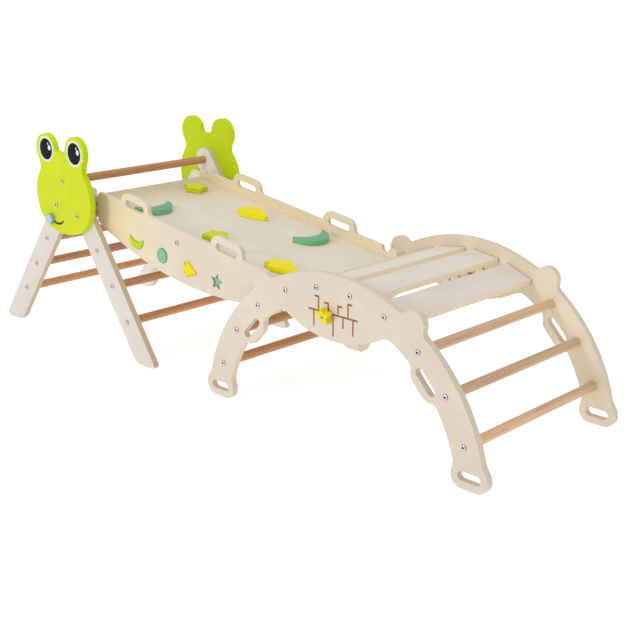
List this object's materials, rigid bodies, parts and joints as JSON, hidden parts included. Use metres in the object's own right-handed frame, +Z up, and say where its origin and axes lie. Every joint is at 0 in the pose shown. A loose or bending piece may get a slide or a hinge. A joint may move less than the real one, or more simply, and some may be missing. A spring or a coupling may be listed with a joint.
{
  "type": "toddler slide",
  "caption": "Wooden toddler climbing set: a folding triangle ladder with frog faces, a slatted arch with maze panels, and a ramp with climbing holds and a shape puzzle hung between them.",
  "frame": {"origin": "on the floor, within 10 mm of the middle of the whole set's bounding box", "axes": "+X from the folding triangle to the arch, along the set's length; +Z up; the puzzle is in the ramp's -Y side"},
  "size_m": [1.9549, 0.608, 0.6384],
  "materials": {
    "birch_plywood": "clear matt lacquer over birch plywood",
    "pale_birch_plywood": "clear matt lacquer over pale birch plywood",
    "beech": "clear satin lacquer over turned beech",
    "lime_paint": "satin lime green paint on plywood",
    "green_paint": "satin green paint on wood",
    "yellow_paint": "satin yellow paint on wood",
    "pale_blue_paint": "satin pale blue paint on wood",
    "zinc_steel": "bright zinc plate",
    "white_print": "printed white ink",
    "black_print": "printed black ink"
  },
  "bodies": {
    "frame": {"arch_rung_left_1": "beech", "arch_rung_left_2": "beech", "arch_rung_left_3": "beech", "arch_rung_right_1": "beech", "arch_rung_right_2": "beech", "arch_rung_right_3": "beech", "arch_side_far": "birch_plywood", "arch_side_near": "birch_plywood", "arch_slat_1": "pale_birch_plywood", "arch_slat_2": "pale_birch_plywood", "arch_slat_3": "pale_birch_plywood", "arch_slat_4": "pale_birch_plywood", "frog_face_far": "lime_paint", "frog_face_near": "lime_paint", "front_leg_far": "pale_birch_plywood", "front_leg_near": "pale_birch_plywood", "front_rung_1": "beech", "front_rung_2": "beech", "front_rung_3": "beech", "front_rung_4": "beech", "pivot_bolt_far": "zinc_steel", "pivot_bolt_near": "zinc_steel", "pivot_nut_far": "zinc_steel", "pivot_nut_near": "zinc_steel", "rung_bolt_far": "zinc_steel", "rung_bolt_near": "zinc_steel", "top_bar": "beech", "top_bar_bolt_far": "zinc_steel", "top_bar_bolt_near": "zinc_steel"},
    "rear_ladder": {"rear_leg_far": "pale_birch_plywood", "rear_leg_near": "pale_birch_plywood", "rear_rung_1": "beech", "rear_rung_2": "beech", "rear_rung_3": "beech"},
    "ramp": {"hold_moon_lower": "green_paint", "hold_moon_upper": "green_paint", "hold_star_lower": "lime_paint", "hold_star_upper": "lime_paint", "hold_tree_lower": "yellow_paint", "hold_tree_upper": "yellow_paint", "puzzle_backing": "birch_plywood", "ramp_deck": "pale_birch_plywood", "ramp_side_far": "birch_plywood", "ramp_side_near": "birch_plywood"},
    "maze_knob_near": {"maze_slider_near": "zinc_steel", "maze_star_near": "yellow_paint"},
    "mouth_knob_near": {"mouth_knob_near": "pale_blue_paint", "mouth_slider_near": "zinc_steel"},
    "maze_knob_far": {"maze_slider_far": "zinc_steel", "maze_star_far": "yellow_paint"},
    "mouth_knob_far": {"mouth_knob_far": "pale_blue_paint", "mouth_slider_far": "zinc_steel"},
    "puzzle_moon": {"puzzle_moon": "lime_paint"},
    "puzzle_disc": {"puzzle_disc": "green_paint"},
    "puzzle_tree": {"puzzle_tree": "yellow_paint"},
    "puzzle_star": {"puzzle_star": "green_paint"}
  },
  "joints": [
    {"name": "rear_ladder_fold", "type": "hinge", "parent": "frame", "child": "rear_ladder", "pos_m": [-0.62507, 0, 0.42456], "axis": [0, -1, 0], "range_deg": [0, 71]},
    {"name": "ramp_lift", "type": "slide", "parent": "frame", "child": "ramp", "axis": [0.1525, 0, 0.9883], "range_m": [0, 0.2]},
    {"name": "maze_slide_near", "type": "slide", "parent": "frame", "child": "maze_knob_near", "axis": [1, 0, 0], "range_m": [-0.0615, 0.0895]},
    {"name": "maze_slide_far", "type": "slide", "parent": "frame", "child": "maze_knob_far", "axis": [1, 0, 0], "range_m": [-0.0615, 0.0895]},
    {"name": "mouth_turn_near", "type": "hinge", "parent": "frame", "child": "mouth_knob_near", "pos_m": [-0.6237, 0, 0.4093], "axis": [0, -1, 0], "range_deg": [0, 87]},
    {"name": "mouth_turn_far", "type": "hinge", "parent": "frame", "child": "mouth_knob_far", "pos_m": [-0.6237, 0, 0.4093], "axis": [0, -1, 0], "range_deg": [0, 87]},
    {"name": "puzzle_moon_pull", "type": "slide", "parent": "ramp", "child": "puzzle_moon", "axis": [0, -1, 0], "range_m": [0, 0.03]},
    {"name": "puzzle_disc_pull", "type": "slide", "parent": "ramp", "child": "puzzle_disc", "axis": [0, -1, 0], "range_m": [0, 0.03]},
    {"name": "puzzle_tree_pull", "type": "slide", "parent": "ramp", "child": "puzzle_tree", "axis": [0, -1, 0], "range_m": [0, 0.03]},
    {"name": "puzzle_star_pull", "type": "slide", "parent": "ramp", "child": "puzzle_star", "axis": [0, -1, 0], "range_m": [0, 0.03]}
  ]
}
